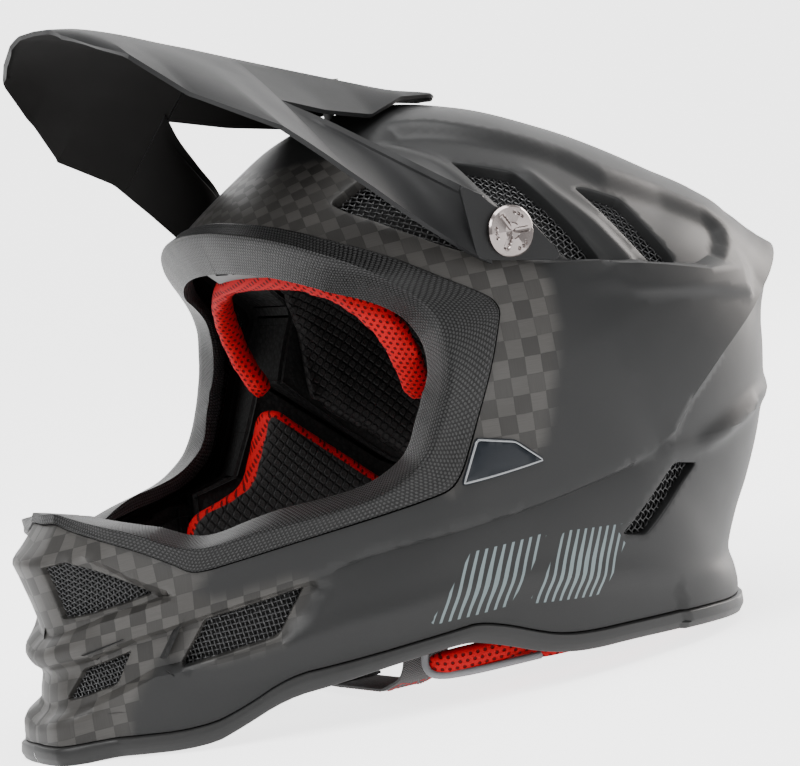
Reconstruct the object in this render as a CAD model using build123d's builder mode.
from build123d import *
import os
import math

os.makedirs("parts", exist_ok=True)

# ------------------------------------------------------------------ driving dimensions (mm)
# Worn-frame drawing coordinates: x to the wearer's left, y to the rear, z up.
# The helmet stands on its chin and on the rear of its base trim, so the whole
# drawing is tipped by TILT and lifted by LIFT onto the floor; SHIFT centres it.
TILT = 1.2
LIFT = 3.2
SHIFT = 5.54
HALF_W = 120.0            # half width of the shell
POLE_Z = 120.0            # height of the side-to-side axis that the sections are drawn about
SHELL_T = 3.0             # composite shell
MESH_T = 0.9              # wire mesh behind the vents
FOAM_GAP = 8.0            # outer face of the foam below the shell's outer face
CHIN_GAP = 7.0            # the same for the chin bar foam
TRIM_PROUD = 1.6          # eye-port trim over the shell
TRIM_DEEP = 12.0
BASE_PROUD = 2.0          # base trim over the shell
BASE_DEEP = 6.0
CHIN_FOAM_T = 9.0
PIVOT = (-2.5, 177.5)     # visor screws, y and z
ARM_X0, ARM_X1 = 112.5, 115.0   # arm plate, inner and outer face
SHANK_R = 3.0
FIT = 0.05                # running clearance, radial
CAP_R = 10.3
CAP_T = 4.2
PAD_X0, PAD_X1 = 66.0, 84.0     # cheek pad, inner and outer face
POCKET_X = 90.0                 # cheek pocket in the foam
STRAP_PIVOT = (-50.0, 60.0)
STRAP_W = 20.0
STRAP_T = 1.6
STRAP_X = 87.0
RING_WIRE_R = 1.5

# radius of the side profile about the pole axis: (angle from +y towards +z, radius)
RT = [(0, 163.5), (10, 162.5), (19.5, 160), (32.4, 138), (54.4, 119.5), (73, 114.6), (90, 113.5),
      (105, 109.5), (114, 106.1), (130, 104.9), (142, 107.9), (158, 123), (172, 146), (184, 169),
      (193.7, 185.5), (204, 203), (212, 223), (225, 243), (240, 270), (255, 292), (270, 292),
      (285, 252), (300, 213), (310, 187), (319.5, 166), (327, 160.5), (333, 160.5), (345, 162),
      (354.3, 163)]
# roundness exponent of the cross sections at the same angles
NT = [(0, 2.15), (60, 2.15), (110, 2.15), (150, 2.1), (178, 1.8), (190, 1.68), (215, 1.68),
      (235, 1.95), (260, 2.3), (290, 2.2), (330, 2.15)]
STATIONS = [0, 50, 84, 106, 117.6]

# side-view outlines (y, z)
RIM_TOP = [(-215, 3.5), (-183, 3), (-164, 2.5), (-139, 3), (-127, 9), (-111, 19), (-94, 21), (-79, 23),
           (-64, 25), (-47, 27), (-40, 28), (-28, 25), (-15, 20), (-6, 17), (7, 15), (35, 14), (70, 13),
           (94, 11), (128, 9), (215, 7)]
RIM_BOT = [(-140, -4.6), (-127, 2), (-113, 10), (-95, 13), (-80, 16),
           (-62, 19), (-47, 20.5), (-35, 18), (-21, 13.5), (-11, 10), (3, 7), (30, 7), (79, 4),
           (101, 3)]
CHIN_FACE = [(-145, 97), (-164, 88), (-177, 73), (-172, 42), (-177.5, 36), (-177.5, 30), (-173, 26),
             (-177, 12), (-182, 8), (-183, 2)]
EYE_OUT = [(-230, 196), (-75, 195.5), (-65, 188), (-59, 183), (-43, 173), (-31, 164), (-17, 155),
           (-13.5, 152), (-12, 148), (-13, 145), (-20, 128), (-32, 100), (-41, 82), (-71, 75),
           (-97, 70.5), (-121, 66), (-134, 63.5), (-142, 67), (-157, 78), (-171, 90), (-230, 137)]
EYE_IN = [(-230, 187), (-75, 186.5), (-68, 180), (-60, 173), (-53, 167), (-45, 160), (-39, 153),
          (-36.5, 143), (-37, 126), (-42, 112), (-50, 96), (-57, 89), (-69, 83), (-85, 80.5),
          (-120, 78), (-133, 79), (-147, 95), (-164, 96), (-230, 150)]
CREST = [(112, 196), (168, 155), (171, 150.5), (163.5, 141), (150, 141), (120, 170)]
VENTS = {
    "chin_upper_mesh": (12, [(-176, 74), (-172, 73.5), (-150, 57.5), (-151, 56), (-171, 49), (-176, 50)]),
    "chin_lower_mesh": (12, [(-176, 31), (-172, 30), (-158, 36), (-163, 22), (-174, 16.5), (-178, 18)]),
    "chin_side_mesh": (40, [(-136, 45.5), (-101, 53.5), (-113, 34), (-143, 26.5), (-144.5, 29)]),
    "brow_mesh": (40, [(-36, 208), (-52, 198), (-49, 193), (-38, 184), (-27, 176), (-19, 171), (-16, 174),
                       (-22, 188)]),
    "crown_front_mesh": (55, [(-3, 211), (3, 209.5), (24, 203), (39, 177), (46, 160), (31, 161),
                              (12, 178), (0, 196)]),
    "crown_rear_mesh": (55, [(50, 193), (57, 192), (74, 185), (86, 153), (70, 155), (55, 184)]),
    "rear_side_mesh": (80, [(63, 74), (78, 71), (42, 47), (28, 50)]),
}

S_ = math.sin(math.radians(TILT))
C_ = math.cos(math.radians(TILT))


def floor_z(y):
    """height of the floor in drawing coordinates"""
    return (y * S_ - LIFT) / C_


RIM_BOT = [(-215, floor_z(-215)), (-150, floor_z(-150))] + RIM_BOT + [(124, floor_z(124)), (215, floor_z(215))]


def pt(x, y, z):
    """drawing point to standing frame"""
    return (x, y * C_ + z * S_ + SHIFT, -y * S_ + z * C_ + LIFT)


def side(x, y=0.0, z=0.0):
    """plane across the helmet at station x: local axes y, z, normal +x"""
    return Plane(origin=pt(x, y, z), x_dir=(0, C_, -S_), z_dir=(1, 0, 0))


def level(z, x=0.0, y=0.0):
    """plane parallel to the drawing's horizontal: local axes x, y"""
    return Plane(origin=pt(x, y, z), x_dir=(1, 0, 0), z_dir=(0, S_, C_))


def front(y, x=0.0, z=0.0):
    """plane seen from the front: local axes x, z, normal towards the front"""
    return Plane(origin=pt(x, y, z), x_dir=(1, 0, 0), z_dir=(0, -C_, S_))


def periodic(tab):
    """smooth closed curve through (angle, value)"""
    a = [t[0] + k for k in (-360, 0, 360) for t in tab]
    v = [t[1] for _ in range(3) for t in tab]
    n = len(a)
    h = [a[i + 1] - a[i] for i in range(n - 1)]
    d = [(v[i + 1] - v[i]) / h[i] for i in range(n - 1)]
    m = [0.0] * n
    for i in range(1, n - 1):
        m[i] = (d[i - 1] * h[i] + d[i] * h[i - 1]) / (h[i] + h[i - 1])

    def f(x):
        x = x % 360.0
        i = max(j for j in range(n - 1) if a[j] <= x)
        t = (x - a[i]) / h[i]
        return ((2 * t**3 - 3 * t**2 + 1) * v[i] + (t**3 - 2 * t**2 + t) * h[i] * m[i]
                + (-2 * t**3 + 3 * t**2) * v[i + 1] + (t**3 - t**2) * h[i] * m[i + 1])
    return f


RF = periodic(RT)
NF = periodic(NT)


def ease(a, b, x):
    t = min(1.0, max(0.0, (x - a) / (b - a)))
    return t * t * (3 - 2 * t)


def form(off, clamp=True, npt=18):
    """the helmet's closed outer form, moved in by off (out where negative)"""
    k = (HALF_W - off) / HALF_W
    with BuildPart() as f:
        for x in [-s for s in STATIONS[:0:-1]] + STATIONS:
            with BuildSketch(side(x * k)):
                with BuildLine():
                    pts = []
                    for i in range(npt):
                        ph = i * 360 / npt
                        r = (RF(ph) - off) * (1 - (abs(x) / HALF_W) ** NF(ph)) ** (1 / NF(ph))
                        pts.append((r * math.cos(math.radians(ph)), POLE_Z + r * math.sin(math.radians(ph))))
                    Spline(*pts, periodic=True)
                make_face()
        loft()
        # the chin's narrow front face
        if clamp:
            with BuildSketch(side(-90)):
                with BuildLine():
                    face = [(y + off * 1.04, z) for y, z in CHIN_FACE]
                    Polyline((-260, 115), (-145 + off * 1.04, 115), *face, (face[-1][0], -30), (-260, -30),
                             (-260, 115))
                make_face()
            extrude(amount=180, mode=Mode.SUBTRACT)
    return f.part


def slab(points, x0=-200.0, x1=200.0):
    """a side-view outline carried across the helmet from x0 to x1"""
    with BuildPart() as s:
        with BuildSketch(side(x0)):
            with BuildLine():
                Polyline(*points, points[0])
            make_face()
        extrude(amount=x1 - x0)
    return s.part


def both(points, x0, x1=130.0):
    """the same outline on both sides, from |x| = x0 to x1"""
    with BuildPart() as s:
        for sgn in (1, -1):
            with BuildSketch(side(sgn * x0)):
                with BuildLine():
                    Polyline(*points, points[0])
                make_face()
            extrude(amount=sgn * (x1 - x0))
    return s.part


def rod(x0, x1, r, yz):
    """a round bar along x"""
    with BuildPart() as s:
        with BuildSketch(side(min(x0, x1), 0, 0)):
            with Locations(yz):
                Circle(r)
        extrude(amount=abs(x1 - x0))
    return s.part


def write(part, label):
    part.label = label
    export_step(part, "parts/" + label + ".step")


def write_pair(left, name):
    """the left piece and its mirror image"""
    write(left, name + "_left")
    with BuildPart() as other:
        mirror(left, about=Plane.YZ)
    write(other.part, name + "_right")
    return other.part


under_rim = slab([(-260, 3.5)] + RIM_TOP + [(260, 7), (260, -320), (-260, -320)])
eye_cut = slab(EYE_OUT)
eye_hole = slab(EYE_IN)
outer = form(0)
inner = form(SHELL_T)

# all vents together, as one cutter
with BuildPart() as vent_cut:
    for x0, outline in VENTS.values():
        for sgn in (1, -1):
            with BuildSketch(side(sgn * x0)):
                with BuildLine():
                    Polyline(*outline, outline[0])
                make_face()
            extrude(amount=sgn * (130 - x0))

# ------------------------------------------------------------------ outer shell with chin bar
with BuildPart() as outer_shell:
    add(outer)
    # lip at the rear of the crown
    with BuildSketch(side(-46)):
        with BuildLine():
            Polyline(*CREST, CREST[0])
        make_face()
    extrude(amount=92)
    add(under_rim, mode=Mode.SUBTRACT)
    add(eye_cut, mode=Mode.SUBTRACT)
    add(inner, mode=Mode.SUBTRACT)
    add(vent_cut.part, mode=Mode.SUBTRACT)
    add(rod(-130, 130, SHANK_R + 0.4, PIVOT), mode=Mode.SUBTRACT)
    with BuildSketch(level(215, 0, -15)):
        Circle(2.6)
    extrude(amount=30, mode=Mode.SUBTRACT)
write(outer_shell.part, "outer_shell")

# ------------------------------------------------------------------ wire mesh panels, flat, set into the vents


def skin_x(y, z, off):
    """half width of the form, moved in by off, at a side-view point"""
    ph = math.degrees(math.atan2(z - POLE_Z, y))
    q = min(1.0, math.hypot(y, z - POLE_Z) / (RF(ph) - off))
    return (HALF_W - off) * (1 - q ** NF(ph)) ** (1 / NF(ph))


def plate(outline, off, inset, thick):
    """flat plate through a side-view outline, lying off below the form"""
    n = len(outline)
    cy = sum(p[0] for p in outline) / n
    cz = sum(p[1] for p in outline) / n
    small = []
    for y, z in outline:
        d = math.hypot(y - cy, z - cz)
        small.append((y - (y - cy) / d * inset, z - (z - cz) / d * inset))
    xs = [skin_x(y, z, off) for y, z in small]
    # least-squares plane x = a + b (y - cy) + c (z - cz)
    ys = [y - cy for y, _ in small]
    zs = [z - cz for _, z in small]
    a = sum(xs) / n
    ym, zm = sum(ys) / n, sum(zs) / n
    syy = sum((y - ym) ** 2 for y in ys)
    szz = sum((z - zm) ** 2 for z in zs)
    syz = sum((y - ym) * (z - zm) for y, z in zip(ys, zs))
    sxy = sum((x - a) * (y - ym) for x, y in zip(xs, ys))
    sxz = sum((x - a) * (z - zm) for x, z in zip(xs, zs))
    det = syy * szz - syz * syz
    b = (sxy * szz - sxz * syz) / det
    c = (sxz * syy - sxy * syz) / det
    o = pt(a, cy + ym, cz + zm)
    n_ = (1.0, *[v for v in (-b * C_ - c * S_, b * S_ - c * C_)])
    l = math.sqrt(sum(v * v for v in n_))
    pl = Plane(origin=o, x_dir=(0, C_ + 0, -S_) if abs(b) < 1e-9 else (b, C_, -S_), z_dir=tuple(v / l for v in n_))
    with BuildPart() as p:
        pts = []
        for (y, z), dy, dz in zip(small, ys, zs):
            w = pt(a + b * (dy - ym) + c * (dz - zm), y, z)
            q = pl.to_local_coords(Vector(*w))
            pts.append((q.X, q.Y))
        with BuildSketch(pl):
            with BuildLine():
                Polyline(*pts, pts[0])
            make_face()
        extrude(amount=-thick)
    return p.part


for name, (x0, outline) in VENTS.items():
    write_pair(plate(outline, 1.6, 1.8, MESH_T), name)

# ------------------------------------------------------------------ head cavity: egg above, oval well below
CAV_Y, CAV_Z, CAV_A, CAV_B = 29.0, 127.0, 80.0, 99.0


def cavity(off, z_low=-30):
    a, b = CAV_A - off, CAV_B - off
    with BuildPart() as c:
        with BuildSketch(side(0)):
            with Locations((CAV_Y, CAV_Z)):
                Ellipse(b, a)
            with Locations((CAV_Y, CAV_Z - 60)):
                Rectangle(260, 120, mode=Mode.SUBTRACT)
        spin = Axis(pt(0, CAV_Y, CAV_Z), (0, C_, -S_))
        revolve(axis=spin, revolution_arc=360)
        with BuildSketch(level(CAV_Z, 0, CAV_Y)):
            Ellipse(a, b)
        extrude(amount=z_low - CAV_Z)
    return c.part


CHEEK_POCKET = [(-130, -30), (-130, 122), (-24, 121), (32, 76), (64, 60), (64, -30)]
CHEEK_PAD = [(-29, 114), (-37, 95), (-45, 78.5), (-60, 74), (-74, 70), (-78, 57), (-75, 42),
             (-62, 30), (-30, 25), (15, 23.5), (40, 28), (47, 44), (44, 60), (26, 68)]

# ------------------------------------------------------------------ foam liner of the crown, sides and rear
with BuildPart() as eps_liner:
    add(form(FOAM_GAP, clamp=False))
    with BuildSketch(side(-200)):
        with BuildLine():
            low = [(y, z + 5) for y, z in RIM_TOP if y > -64]
            Polyline((-260, 130), (-62, 130), (-62, 30), *low, (260, 12), (260, -320), (-260, -320),
                     (-260, 130))
        make_face()
    extrude(amount=400, mode=Mode.SUBTRACT)
    add(eye_cut, mode=Mode.SUBTRACT)
    add(cavity(0), mode=Mode.SUBTRACT)
    add(slab(CHEEK_POCKET, -POCKET_X, POCKET_X), mode=Mode.SUBTRACT)
    add(vent_cut.part, mode=Mode.SUBTRACT)
    # pockets for the visor inserts and the strap anchors
    for s in (1, -1):
        add(rod(s * 88, s * 110, 6.3, PIVOT), mode=Mode.SUBTRACT)
        add(rod(s * 88, s * 93.3, 8.3, STRAP_PIVOT), mode=Mode.SUBTRACT)
    with BuildSketch(level(216.5, 0, -15)):
        Circle(5.4)
    extrude(amount=30, mode=Mode.SUBTRACT)
write(eps_liner.part.solids().sort_by(SortBy.VOLUME)[-1], "eps_liner")

# ------------------------------------------------------------------ chin bar foam
with BuildPart() as chin_bar_foam:
    with BuildSketch(side(-110)):
        with BuildLine():
            Polyline((-185, 6), (-140, 7), (-127, 13), (-111, 23), (-94, 25), (-79, 27), (-65, 29),
                     (-65, 73), (-71, 73.5), (-97, 69), (-121, 64.5), (-134, 62), (-144, 66), (-159, 77),
                     (-166, 84), (-185, 70), (-185, 6))
        make_face()
    extrude(amount=220)
    add(form(CHIN_GAP), mode=Mode.INTERSECT)
    with BuildSketch(level(-10)):
        with BuildLine():
            room = [(0, -162), (18, -159), (36, -145), (54, -126), (71, -102), (86.5, -81), (90.5, -62)]
            Polyline(*room, (90, -20), (-90, -20), *[(-x, y) for x, y in room[:0:-1]], room[0])
        make_face()
    extrude(amount=130, mode=Mode.SUBTRACT)
    add(vent_cut.part, mode=Mode.SUBTRACT)
write(chin_bar_foam.part, "chin_bar_foam")

# ------------------------------------------------------------------ eye-port trim
with BuildPart() as eye_port_trim:
    add(form(-TRIM_PROUD))
    add(eye_cut, mode=Mode.INTERSECT)
    add(eye_hole, mode=Mode.SUBTRACT)
    add(form(TRIM_DEEP), mode=Mode.SUBTRACT)
write(eye_port_trim.part, "eye_port_trim")

# ------------------------------------------------------------------ slotted vent frame inside the brow
with BuildPart() as brow_vent_frame:
    add(slab([(-64, 180), (-59, 178), (-54, 172), (-59, 169), (-66, 175)], -38, 38))
    for x in (-24, -8, 8, 24):
        with BuildSketch(front(-100, x, 0)):
            with Locations((0, 174.7)):
                Rectangle(12, 4)
        extrude(amount=-60, mode=Mode.SUBTRACT)
write(brow_vent_frame.part, "brow_vent_frame")

# ------------------------------------------------------------------ base trim
with BuildPart() as base_trim:
    with BuildSketch(side(-130)):
        with BuildLine():
            Polyline(*RIM_BOT, *RIM_TOP[::-1], RIM_BOT[0])
        make_face()
    extrude(amount=260)
    add(form(-BASE_PROUD), mode=Mode.INTERSECT)
    add(form(BASE_DEEP), mode=Mode.SUBTRACT)
write(base_trim.part, "base_trim")

# ------------------------------------------------------------------ emblem plates, let into the shell's side
write_pair(plate([(-30.5, 100), (-15.5, 97), (-5, 88), (-4.5, 86.5), (-38.5, 83)], -1.4, 0.0, 0.8), "emblem_plate")

# ------------------------------------------------------------------ comfort pads
BROW_ZONE = [(-68, 184), (-50, 170), (-38, 155), (-30, 140), (-31, 120), (-12, 120), (-12, 140),
             (-22, 158), (-36, 176), (-52, 192)]
pad_outer = cavity(0.4)
pad_inner = cavity(7.0, -32)
with BuildPart() as brow_pad:
    add(slab(BROW_ZONE, -90, 90))
    add(pad_outer, mode=Mode.INTERSECT)
    add(pad_inner, mode=Mode.SUBTRACT)
write(brow_pad.part.solids().sort_by(SortBy.VOLUME)[-1], "brow_pad")

with BuildPart() as crown_pad:
    add(slab([(-11.3, 118.5), (-11.3, 140.3), (-21.3, 158.5), (-35.3, 176.4), (-50, 192), (-30, 215),
              (150, 215), (150, 52), (66, 62), (34, 77.5), (-11, 112)], -90, 90))
    add(pad_outer, mode=Mode.INTERSECT)
    add(pad_inner, mode=Mode.SUBTRACT)
write(crown_pad.part.solids().sort_by(SortBy.VOLUME)[-1], "crown_pad")

with BuildPart() as cheek_pad:
    with BuildSketch(side(PAD_X0)):
        with BuildLine():
            Polyline(*CHEEK_PAD, CHEEK_PAD[0])
        make_face()
        fillet(vertices(), 5)
    extrude(amount=PAD_X1 - PAD_X0)
    fillet(faces().sort_by(Axis.X)[0].edges(), 4)
write_pair(cheek_pad.part, "cheek_pad")

with BuildPart() as snaps:
    for yz in ((-26, 98), (-12, 52), (34, 42)):
        with BuildSketch(side(PAD_X1 + 0.05)):
            with Locations(yz):
                Circle(5)
        extrude(amount=2.5)
        with BuildSketch(side(PAD_X1 + 2.55)):
            with Locations(yz):
                Circle(2.5)
        extrude(amount=POCKET_X - PAD_X1 - 2.55)
write_pair(snaps.part, "cheek_pad_snaps")

# ------------------------------------------------------------------ neck roll
with BuildPart() as neck_roll:
    with BuildSketch(level(4.2)):
        with Locations((0, 15)):
            Ellipse(98, 102)
            Ellipse(82, 86, mode=Mode.SUBTRACT)
        with Locations((0, -115)):
            Rectangle(260, 174, mode=Mode.SUBTRACT)
    extrude(amount=9.5)
    # ends that reach forward behind the arched part of the base edge
    for s in (1, -1):
        with BuildSketch(level(6)):
            with BuildLine():
                end = [(s * x, y) for x, y in ((91.5, -57), (99, -57), (101.5, -40), (100.5, -22), (95.5, -8), (87, -8), (91.5, -27))]
                Polyline(*end, end[0])
            make_face()
        extrude(amount=13)
write(neck_roll.part, "neck_roll")

# ------------------------------------------------------------------ visor
# cross sections of the outer face, as (y, [(x, z) from the middle to the edge])
HOOD = [(-141, [(0, 283), (14, 282.6), (20, 281.5), (27, 279.3)]),
        (-131, [(0, 282), (17, 281.4), (42, 275.5), (66, 267.1)]),
        (-115, [(0, 278.5), (17, 277.7), (50, 266.5), (82, 249.2)]),
        (-92.5, [(0, 271.2), (17, 270.6), (55, 256), (112, 231.2)]),
        (-71, [(0, 264.5), (17, 263.8), (57, 246), (103.5, 217.5)]),
        (-63.5, [(0, 262), (17, 261.3), (55, 241.5), (105, 210.5)])]
PANEL = [(-63.5, [(0, 262), (17, 261.3), (55, 241.5)]),
         (-40, [(0, 254.4), (17, 253.8), (47, 235)]),
         (-15.5, [(0, 246.6), (17, 246.1), (39, 230.6)]),
         (5, [(0, 240.4), (17, 239.9), (28, 236.2)]),
         (26, [(0, 235.6), (14, 235.5), (17.5, 235.3)])]
ARM = [(-63.5, (55, 241.5), (105, 210.5)), (-54, (68, 232), (107.5, 201.7)), (-42, (80, 221), (111, 190)),
       (-31, (91, 211), (113, 180.5)), (-21, (104, 201), (115, 171.8)), (-12, (113.6, 193), (115, 165.8))]
SKIN = 1.8
ARM_END = [(-14, 166.2), (18, 163), (19.5, 164.6), (5, 184), (-7.5, 188), (-14, 194), (-22, 190)]


def arch(sections):
    with BuildPart() as a:
        for y, half in sections:
            top = [(-x, z) for x, z in half[:0:-1]] + half
            with BuildSketch(front(y)):
                with BuildLine():
                    low = [(x * 0.985, z - SKIN) for x, z in top[::-1]]
                    Polyline(*top, *low, top[0])
                make_face()
        loft(ruled=True)
    return a.part


with BuildPart() as visor:
    add(arch(HOOD))
    add(arch(PANEL))
    for s in (1, -1):
        with BuildPart(mode=Mode.PRIVATE) as arm:
            for y, (xu, zu), (xl, zl) in ARM:
                with BuildSketch(front(y)):
                    with BuildLine():
                        Polyline((s * xu, zu), (s * xl, zl), (s * (xl - 2.4), zl - 0.6),
                                 (s * (xu - 2.0), zu - 1.6), (s * xu, zu))
                    make_face()
            loft(ruled=True)
        add(arm.part)
        with BuildSketch(side(s * ARM_X0)):
            with BuildLine():
                Polyline(*ARM_END, ARM_END[0])
            make_face()
        extrude(amount=s * (ARM_X1 - ARM_X0))
        add(rod(s * 100, s * 130, SHANK_R + FIT, PIVOT), mode=Mode.SUBTRACT)
    # relief on the inside of each arm's lower edge, clear of the shell
    add(both([(-40, 150), (40, 150), (40, 167.2), (-40, 167.2)], 110, 113.5), mode=Mode.SUBTRACT)
    # centre block: its seat for the screw head is an arc about the pivots
    with BuildSketch(side(-11)):
        with BuildLine():
            Polyline((-27, 236), (-27, 252), (12, 239), (12, 236), (-27, 236))
        make_face()
    extrude(amount=22)
    with BuildSketch(side(-30)):
        with Locations(PIVOT):
            Circle(60.5)
    extrude(amount=60, mode=Mode.SUBTRACT)
    with BuildSketch(side(-7)):
        with BuildLine():
            ang = [106 - 21 * i / 8 for i in range(9)]
            arc = [(PIVOT[0] + 66.5 * math.cos(math.radians(t)), PIVOT[1] + 66.5 * math.sin(math.radians(t)))
                   for t in ang]
            Polyline(*arc, (arc[-1][0] + 1, 262), (arc[0][0] - 1, 262), arc[0])
        make_face()
    extrude(amount=14, mode=Mode.SUBTRACT)
    with BuildSketch(level(230)):
        with Locations((0, -10)):
            SlotOverall(20, 5.6, rotation=90)
    extrude(amount=20, mode=Mode.SUBTRACT)
write(visor.part, "visor")

# ------------------------------------------------------------------ visor side screws, spacers and inserts
with BuildPart() as spacer:
    add(rod(111.3, ARM_X0 - 0.05, 8.6, PIVOT))
    add(rod(90, 120, SHANK_R + FIT, PIVOT), mode=Mode.SUBTRACT)
write_pair(spacer.part, "visor_spacer")

with BuildPart() as insert:
    add(rod(91, 97.5, 5.8, PIVOT))
    add(rod(80, 120, SHANK_R + FIT, PIVOT), mode=Mode.SUBTRACT)
write_pair(insert.part, "visor_insert")

with BuildPart() as screw:
    add(rod(92, ARM_X1 + 0.06, SHANK_R, PIVOT))
    with BuildSketch(side(ARM_X1 + 0.05)):
        with Locations(PIVOT):
            Circle(CAP_R)
    extrude(amount=CAP_T)
    chamfer(faces().sort_by(Axis.X)[-1].edges(), 1.6)
    with BuildSketch(side(ARM_X1 + 0.05 + CAP_T)):
        with Locations(PIVOT):
            Rectangle(9, 1.8)
            Rectangle(1.8, 9)
    extrude(amount=-1.4, mode=Mode.SUBTRACT)
write_pair(screw.part, "visor_screw")

# centre screw, its rubber washer and its insert, upright at y = -15
with BuildPart() as screw_centre:
    with BuildSketch(level(222, 0, -15)):
        Circle(2.2)
    extrude(amount=24.5)
    with BuildSketch(level(245.6, 0, -15)):
        Circle(6)
    extrude(amount=1.9)
    with BuildSketch(level(247.5, 0, -15)):
        RegularPolygon(1.7, 6)
    extrude(amount=-1.2, mode=Mode.SUBTRACT)
write(screw_centre.part, "visor_screw_centre")

with BuildPart() as insert_centre:
    with BuildSketch(level(217, 0, -15)):
        Circle(5)
    extrude(amount=8)
    with BuildSketch(level(215, 0, -15)):
        Circle(2.2 + FIT)
    extrude(amount=30, mode=Mode.SUBTRACT)
write(insert_centre.part, "visor_insert_centre")

# ------------------------------------------------------------------ strap anchors: foam plate and pin in one, and the hanger
with BuildPart() as anchor:
    add(rod(POCKET_X + 0.1, 93, 8, STRAP_PIVOT))
    add(rod(STRAP_X - 1.9, POCKET_X + 0.2, 2.5, STRAP_PIVOT))
    add(rod(STRAP_X - 2.6, STRAP_X - 1.3, 4.5, STRAP_PIVOT))
write_pair(anchor.part, "strap_anchor")

y0, z0 = STRAP_PIVOT
with BuildPart() as hanger:
    with BuildSketch(side(STRAP_X - 0.8)):
        with Locations(STRAP_PIVOT):
            Circle(7)
        with Locations((y0, z0 - 9)):
            Rectangle(22, 8)
        with Locations((y0, z0 - 4)):
            Rectangle(12, 8)
        with Locations(STRAP_PIVOT):
            Circle(2.5 + FIT, mode=Mode.SUBTRACT)
        with Locations((y0, z0 - 9.6)):
            Rectangle(20.2, 3.4, mode=Mode.SUBTRACT)
    extrude(amount=1.6)
write_pair(hanger.part, "strap_hanger")

# ------------------------------------------------------------------ chin strap, buckled through its two D-rings


def strip_outline(path, radii, half):
    """outline of a strip along a path of straight runs and arcs, in local (x, z)"""
    pts = []
    m = len(path)
    for i in range(1, m - 1):
        (ax, az), (bx, bz), (cx, cz) = path[i - 1], path[i], path[i + 1]
        ux, uz = bx - ax, bz - az
        vx, vz = cx - bx, cz - bz
        lu, lv = math.hypot(ux, uz), math.hypot(vx, vz)
        ux, uz, vx, vz = ux / lu, uz / lu, vx / lv, vz / lv
        turn = math.atan2(ux * vz - uz * vx, ux * vx + uz * vz)
        r = radii[i - 1]
        d = r * math.tan(abs(turn) / 2)
        s = 1 if turn > 0 else -1
        cxx = bx - ux * d - uz * r * s
        czz = bz - uz * d + ux * r * s
        steps = max(2, int(abs(turn) / 0.2))
        a0 = math.atan2(bz - uz * d - czz, bx - ux * d - cxx)
        for k in range(steps + 1):
            a = a0 + turn * k / steps
            nx, nz = math.cos(a) * s, math.sin(a) * s
            pts.append((cxx + r * math.cos(a), czz + r * math.sin(a), nx, nz))
    (ax, az), (bx, bz) = path[0], path[1]
    l = math.hypot(bx - ax, bz - az)
    first = (ax, az, (bz - az) / l, -(bx - ax) / l)
    (ax, az), (bx, bz) = path[-2], path[-1]
    l = math.hypot(bx - ax, bz - az)
    last = (bx, bz, (bz - az) / l, -(bx - ax) / l)
    allp = [first] + pts + [last]
    a = [(x + nx * half, z + nz * half) for x, z, nx, nz in allp]
    b = [(x - nx * half, z - nz * half) for x, z, nx, nz in allp]
    return a + b[::-1]


STRAP_LONG = [(87, 46.8), (87, 24), (80, 7), (60, 0.6), (20, -0.4), (-41.2, -0.4), (-41.2, 11.4), (-24, 11.4),
              (-4, 1.5), (22, 1.5)]
LONG_R = [22, 16, 22, 60, 5.3, 5.3, 14, 16]
STRAP_SHORT = [(-87, 46.8), (-87, 24), (-82, 8), (-68, 4.6), (-54.4, 4.6)]
SHORT_R = [22, 12, 18]

for label, path, radii in (("chin_strap_long", STRAP_LONG, LONG_R), ("chin_strap_short", STRAP_SHORT, SHORT_R)):
    with BuildPart() as web:
        with BuildSketch(front(y0 + STRAP_W / 2)):
            with BuildLine():
                rim = strip_outline(path, radii, STRAP_T / 2)
                Polyline(*rim, rim[0])
            make_face()
        extrude(amount=STRAP_W)
        if label == "chin_strap_short":
            # sewn loop that holds the straight bars of the two rings
            with BuildSketch(front(y0 + STRAP_W / 2)):
                with Locations((-50, 5.1)):
                    Circle(5.2)
            extrude(amount=STRAP_W)
            with BuildSketch(front(y0 + STRAP_W)):
                with Locations((-50, 5.1)):
                    Circle(3.65)
            extrude(amount=2 * STRAP_W, mode=Mode.SUBTRACT)
    write(web.part, label)

# two D-rings, one over the other, straight bar in the sewn loop
with BuildPart() as d_rings:
    for zc in (3.35, 6.85):
        with BuildSketch(level(zc - RING_WIRE_R, 0, y0)) as ring:
            with Locations((-42.5, 0)):
                RectangleRounded(18, 29, 6)
                RectangleRounded(12, 23, 3, mode=Mode.SUBTRACT)
        extrude(amount=2 * RING_WIRE_R)
write(d_rings.part, "d_rings")

with BuildPart() as strap_snap:
    with BuildSketch(level(2.35, 11, y0)):
        Circle(5.6)
    extrude(amount=2.2)
    with BuildSketch(level(-3.0, 11, y0)):
        Circle(4.4)
    extrude(amount=1.75)
write(strap_snap.part, "strap_snap")
print("done")
